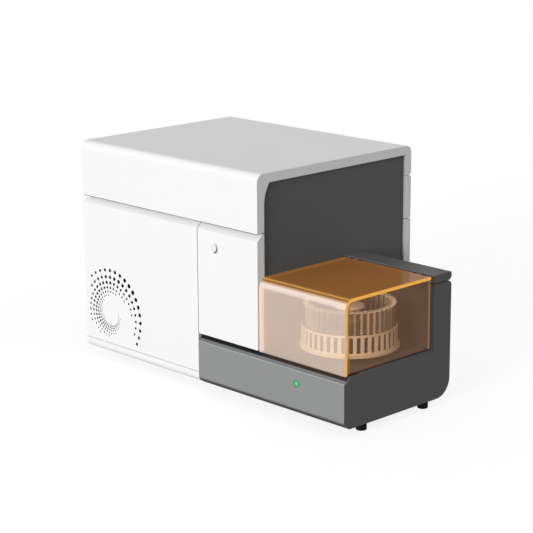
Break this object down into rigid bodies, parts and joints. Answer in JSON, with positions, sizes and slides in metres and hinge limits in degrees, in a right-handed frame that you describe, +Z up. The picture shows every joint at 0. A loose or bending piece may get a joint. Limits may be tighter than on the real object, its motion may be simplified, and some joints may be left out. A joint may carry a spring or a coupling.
{
  "type": "flow cytometer",
  "caption": "Benchtop flow cytometer: white and dark cabinet with hinged lid and vented door, and a carousel autosampler under a bent amber cover.",
  "frame": {"origin": "on the bench under the middle of the instrument's footprint", "axes": "+X to the right seen from the front, where the autosampler is; +Y to the back; +Z up"},
  "size_m": [0.72, 0.416, 0.438],
  "materials": {
    "white_moulding": "satin, very fine grain",
    "dark_panel_paint": "fine texture powder coat",
    "grey_moulding": "satin",
    "dark_moulding": "fine grain",
    "amber_acrylic": "polished, transparent amber",
    "brown_acrylic": "polished, transparent brown",
    "green_lens": "translucent lit lens",
    "white_button": "satin",
    "black_plastic": "moulded",
    "grey_plastic": "moulded",
    "blue_plastic": "moulded",
    "black_rubber": "moulded",
    "black_foam": "open cell foam",
    "zinc_steel": "zinc plated sheet",
    "dark_steel": "black oxide",
    "steel_can": "polished",
    "chrome_wire": "chrome plated wire",
    "machined_aluminium": "milled, clear anodised",
    "dark_aluminium": "grey anodised",
    "black_aluminium": "black anodised",
    "quartz": "polished",
    "clear_tube": "flexible translucent tube",
    "tube_polymer": "translucent polystyrene",
    "white_polymer": "moulded",
    "cream_plastic": "moulded",
    "circuit_board": "solder mask"
  },
  "bodies": {
    "cabinet": {"chassis_tray": "zinc_steel", "chassis_frame": "dark_aluminium", "left_side_panel": "dark_panel_paint", "right_side_panel": "dark_panel_paint", "front_trim": "white_moulding", "right_front_panel": "white_moulding", "rear_upper_panel": "white_moulding", "rear_lower_panel": "white_moulding", "rear_io_plate": "zinc_steel", "lid_hinges": "dark_steel", "door_hinge_pins": "zinc_steel", "power_switch": "black_plastic", "fan_guard": "chrome_wire", "fan_frame": "black_plastic", "mains_inlet": "black_plastic", "data_ports": "zinc_steel", "fluid_ports": "blue_plastic", "feet": "black_rubber", "optical_bench": "machined_aluminium", "laser_modules": "dark_aluminium", "beam_mirrors": "machined_aluminium", "focusing_lens": "black_aluminium", "flow_cell_block": "machined_aluminium", "flow_cell": "quartz", "collection_lens": "black_aluminium", "detector_block": "black_aluminium", "photomultipliers": "steel_can", "fluidics_panel": "zinc_steel", "sheath_pump": "grey_plastic", "syringe_barrel": "quartz", "syringe_drive": "dark_aluminium", "pinch_valves": "blue_plastic", "sheath_filter": "white_polymer", "fluid_tubing": "clear_tube", "power_supply": "zinc_steel", "main_board": "circuit_board", "front_fascia": "grey_moulding", "status_light": "green_lens", "sampler_housing": "dark_moulding", "sampler_deck": "dark_moulding", "column_cap": "dark_moulding", "cover_hinges": "zinc_steel", "carousel_motor": "dark_steel", "arm_guides": "machined_aluminium"},
    "lid": {"top_lid": "white_moulding"},
    "door": {"left_door": "white_moulding", "vent_filter": "black_foam"},
    "button": {"power_button": "white_button"},
    "fan": {"fan_rotor": "black_plastic"},
    "rocker": {"mains_rocker": "black_plastic"},
    "pump": {"pump_rotor": "grey_plastic"},
    "plunger": {"syringe_plunger": "white_polymer"},
    "cover": {"sampler_cover": "amber_acrylic", "cover_end_panels": "brown_acrylic"},
    "carousel": {"carousel_plate": "cream_plastic", "tube_rack": "cream_plastic", "sample_tubes": "tube_polymer", "carousel_shaft": "steel_can"},
    "arm": {"sampling_arm": "black_aluminium", "sampling_needle": "steel_can"}
  },
  "joints": [
    {"name": "lid_hinge", "type": "hinge", "parent": "cabinet", "child": "lid", "pos_m": [-0.11, 0.204, 0.38], "axis": [-1, 0, 0], "range_deg": [0, 75]},
    {"name": "door_hinge", "type": "hinge", "parent": "cabinet", "child": "door", "pos_m": [-0.352, -0.192, 0.182], "axis": [0, 0, -1], "range_deg": [0, 90]},
    {"name": "power_button_press", "type": "slide", "parent": "cabinet", "child": "button", "axis": [0, 1, 0], "range_m": [0, 0.0025], "stiffness_N_per_m": 600, "springref_m": -0.0015},
    {"name": "fan_spin", "type": "hinge", "parent": "cabinet", "child": "fan", "pos_m": [0.03, 0.191, 0.138], "axis": [0, 1, 0], "continuous": true},
    {"name": "mains_rocker_tilt", "type": "hinge", "parent": "cabinet", "child": "rocker", "pos_m": [-0.268, 0.195, 0.104], "axis": [-1, 0, 0], "range_deg": [0, 16]},
    {"name": "pump_rotor_turn", "type": "hinge", "parent": "cabinet", "child": "pump", "pos_m": [-0.27, -0.161, 0.206], "axis": [0, 1, 0], "continuous": true},
    {"name": "syringe_plunger_slide", "type": "slide", "parent": "cabinet", "child": "plunger", "axis": [0, 0, 1], "range_m": [0, 0.045]},
    {"name": "cover_hinge", "type": "hinge", "parent": "cabinet", "child": "cover", "pos_m": [0.24775, 0.0209, 0.2473], "axis": [-1, 0, 0], "range_deg": [0, 90]},
    {"name": "carousel_turn", "type": "hinge", "parent": "cabinet", "child": "carousel", "pos_m": [0.243, -0.074, 0.12], "axis": [0, 0, 1], "continuous": true},
    {"name": "sampling_arm_slide", "type": "slide", "parent": "cabinet", "child": "arm", "axis": [0, 0, -1], "range_m": [0, 0.03]}
  ]
}
